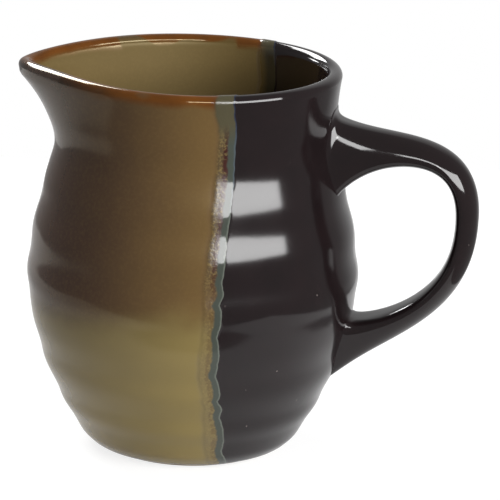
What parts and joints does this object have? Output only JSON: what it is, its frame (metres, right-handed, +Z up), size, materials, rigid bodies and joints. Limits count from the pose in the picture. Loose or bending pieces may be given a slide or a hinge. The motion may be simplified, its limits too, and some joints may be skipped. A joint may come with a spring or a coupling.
{
  "type": "cream jug",
  "caption": "Small round stoneware jug with soft throwing ribs, a pulled pouring spout and a strap handle, glazed tan on the spout side and black on the handle side.",
  "frame": {"origin": "centre of the foot ring, on the surface the jug stands on", "axes": "+Z up, +X from the pot towards the handle, the spout points to -X"},
  "size_m": [0.1257, 0.0898, 0.1054],
  "materials": {
    "stoneware": "bare fired clay, matt and slightly gritty",
    "slip": "bare fired slip, matt",
    "tan_glaze": "satin olive tan glaze that breaks rust brown on the lip",
    "overlap_glaze": "glossy, mottled blue grey to olive",
    "black_glaze": "glossy black with a faint brown cast"
  },
  "bodies": {
    "root": {"body": "stoneware", "handle": "stoneware", "upper_joint": "slip", "lower_joint": "slip", "tan_glaze": "tan_glaze", "overlap_glaze": "overlap_glaze", "black_glaze": "black_glaze", "handle_glaze": "black_glaze"}
  },
  "joints": []
}
